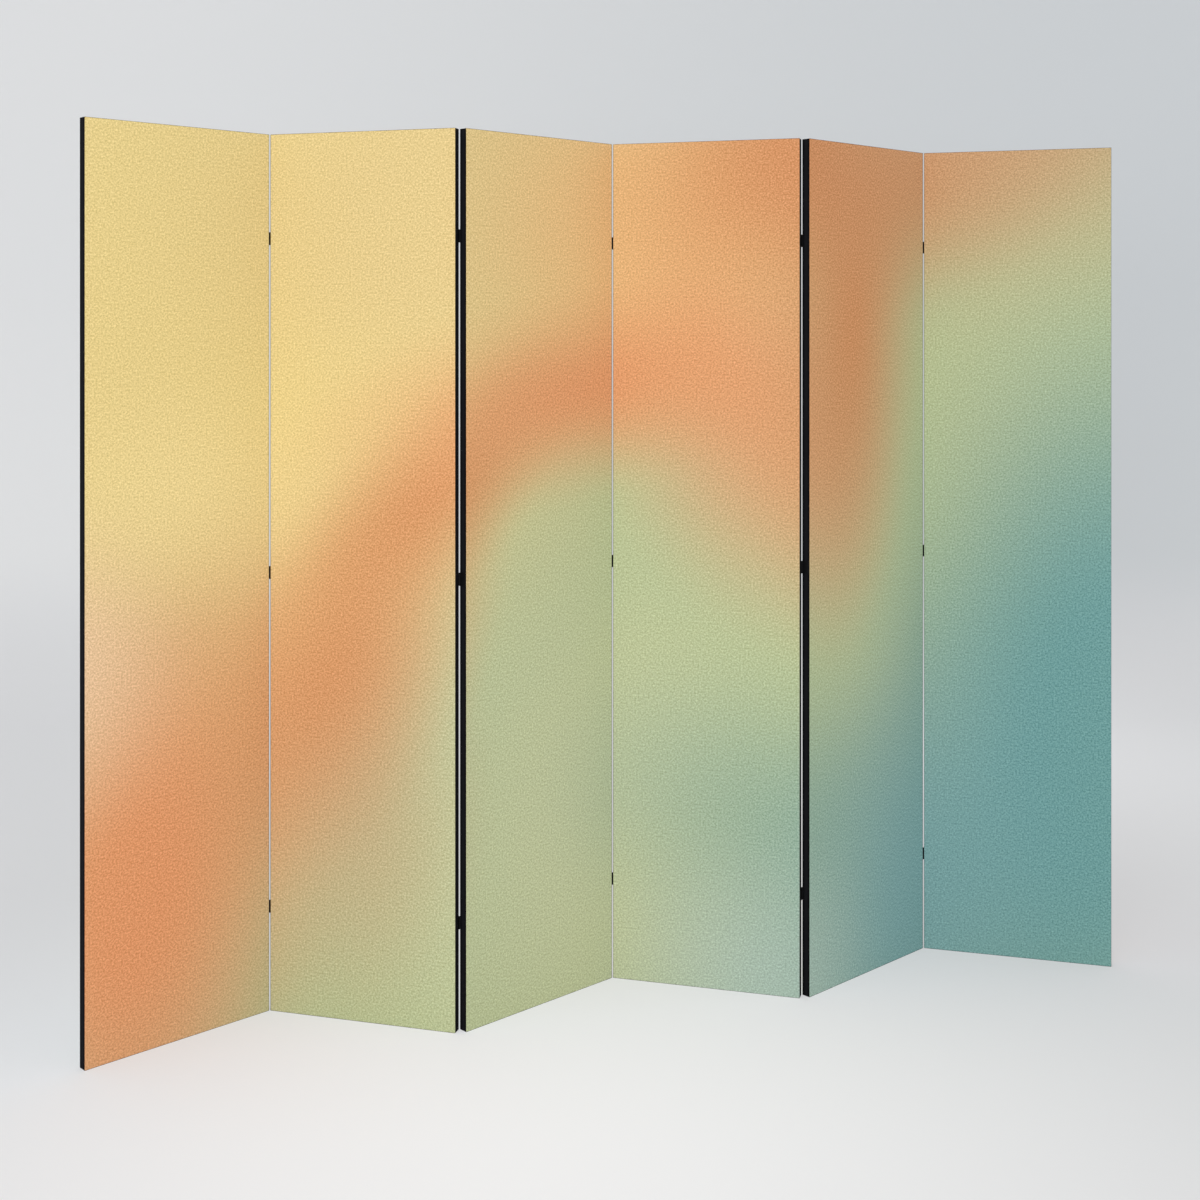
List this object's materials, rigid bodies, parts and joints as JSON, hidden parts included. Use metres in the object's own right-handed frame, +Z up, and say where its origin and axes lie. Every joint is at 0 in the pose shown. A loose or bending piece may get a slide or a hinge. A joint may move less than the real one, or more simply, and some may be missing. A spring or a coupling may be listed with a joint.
{
  "type": "room divider",
  "caption": "Free-standing folding screen: tall flat printed-canvas panels in a zigzag, joined at their edges by hidden woven strap hinges.",
  "frame": {"origin": "on the floor, under the middle of the box round the zigzag as it stands in the picture", "axes": "+X along the row of panels, to the right seen from the front; -Y out of the front, which the picture shows; +Z up"},
  "size_m": [2.1474, 0.216, 1.775],
  "materials": {
    "pine": "matte",
    "printed_canvas": "matte",
    "edge_tape": "satin",
    "strap_webbing": "matte",
    "staple_steel": "satin"
  },
  "bodies": {
    "panel_1": {"panel_1_left_stile": "pine", "panel_1_right_stile": "pine", "panel_1_rails": "pine", "panel_1_front_canvas": "printed_canvas", "panel_1_back_canvas": "printed_canvas", "panel_1_edge_tape": "edge_tape", "panel_1_strap_staples": "staple_steel", "panel_1_corner_staples": "staple_steel", "panel_1_right_straps": "strap_webbing"},
    "panel_2": {"panel_2_left_stile": "pine", "panel_2_right_stile": "pine", "panel_2_rails": "pine", "panel_2_front_canvas": "printed_canvas", "panel_2_back_canvas": "printed_canvas", "panel_2_edge_tape": "edge_tape", "panel_2_strap_staples": "staple_steel", "panel_2_corner_staples": "staple_steel", "panel_2_left_straps": "strap_webbing", "panel_2_right_straps": "strap_webbing"},
    "panel_3": {"panel_3_left_stile": "pine", "panel_3_right_stile": "pine", "panel_3_rails": "pine", "panel_3_front_canvas": "printed_canvas", "panel_3_back_canvas": "printed_canvas", "panel_3_edge_tape": "edge_tape", "panel_3_strap_staples": "staple_steel", "panel_3_corner_staples": "staple_steel", "panel_3_left_straps": "strap_webbing", "panel_3_right_straps": "strap_webbing"},
    "panel_4": {"panel_4_left_stile": "pine", "panel_4_right_stile": "pine", "panel_4_rails": "pine", "panel_4_front_canvas": "printed_canvas", "panel_4_back_canvas": "printed_canvas", "panel_4_edge_tape": "edge_tape", "panel_4_strap_staples": "staple_steel", "panel_4_corner_staples": "staple_steel", "panel_4_left_straps": "strap_webbing", "panel_4_right_straps": "strap_webbing"},
    "panel_5": {"panel_5_left_stile": "pine", "panel_5_right_stile": "pine", "panel_5_rails": "pine", "panel_5_front_canvas": "printed_canvas", "panel_5_back_canvas": "printed_canvas", "panel_5_edge_tape": "edge_tape", "panel_5_strap_staples": "staple_steel", "panel_5_corner_staples": "staple_steel", "panel_5_left_straps": "strap_webbing", "panel_5_right_straps": "strap_webbing"},
    "panel_6": {"panel_6_left_stile": "pine", "panel_6_right_stile": "pine", "panel_6_rails": "pine", "panel_6_front_canvas": "printed_canvas", "panel_6_back_canvas": "printed_canvas", "panel_6_edge_tape": "edge_tape", "panel_6_strap_staples": "staple_steel", "panel_6_corner_staples": "staple_steel", "panel_6_left_straps": "strap_webbing"}
  },
  "joints": [
    {"name": "fold_12", "type": "hinge", "parent": "panel_2", "child": "panel_1", "pos_m": [-0.71668, 0.09207, 0.8875], "axis": [0, 0, 1], "range_deg": [-60, 120]},
    {"name": "fold_23", "type": "hinge", "parent": "panel_3", "child": "panel_2", "pos_m": [-0.35834, -0.09207, 0.8875], "axis": [0, 0, -1], "range_deg": [-60, 120]},
    {"name": "fold_34", "type": "hinge", "parent": "panel_3", "child": "panel_4", "pos_m": [0, 0.09207, 0.8875], "axis": [0, 0, -1], "range_deg": [-60, 120]},
    {"name": "fold_45", "type": "hinge", "parent": "panel_4", "child": "panel_5", "pos_m": [0.35834, -0.09207, 0.8875], "axis": [0, 0, 1], "range_deg": [-60, 120]},
    {"name": "fold_56", "type": "hinge", "parent": "panel_5", "child": "panel_6", "pos_m": [0.71668, 0.09207, 0.8875], "axis": [0, 0, -1], "range_deg": [-60, 120]}
  ]
}
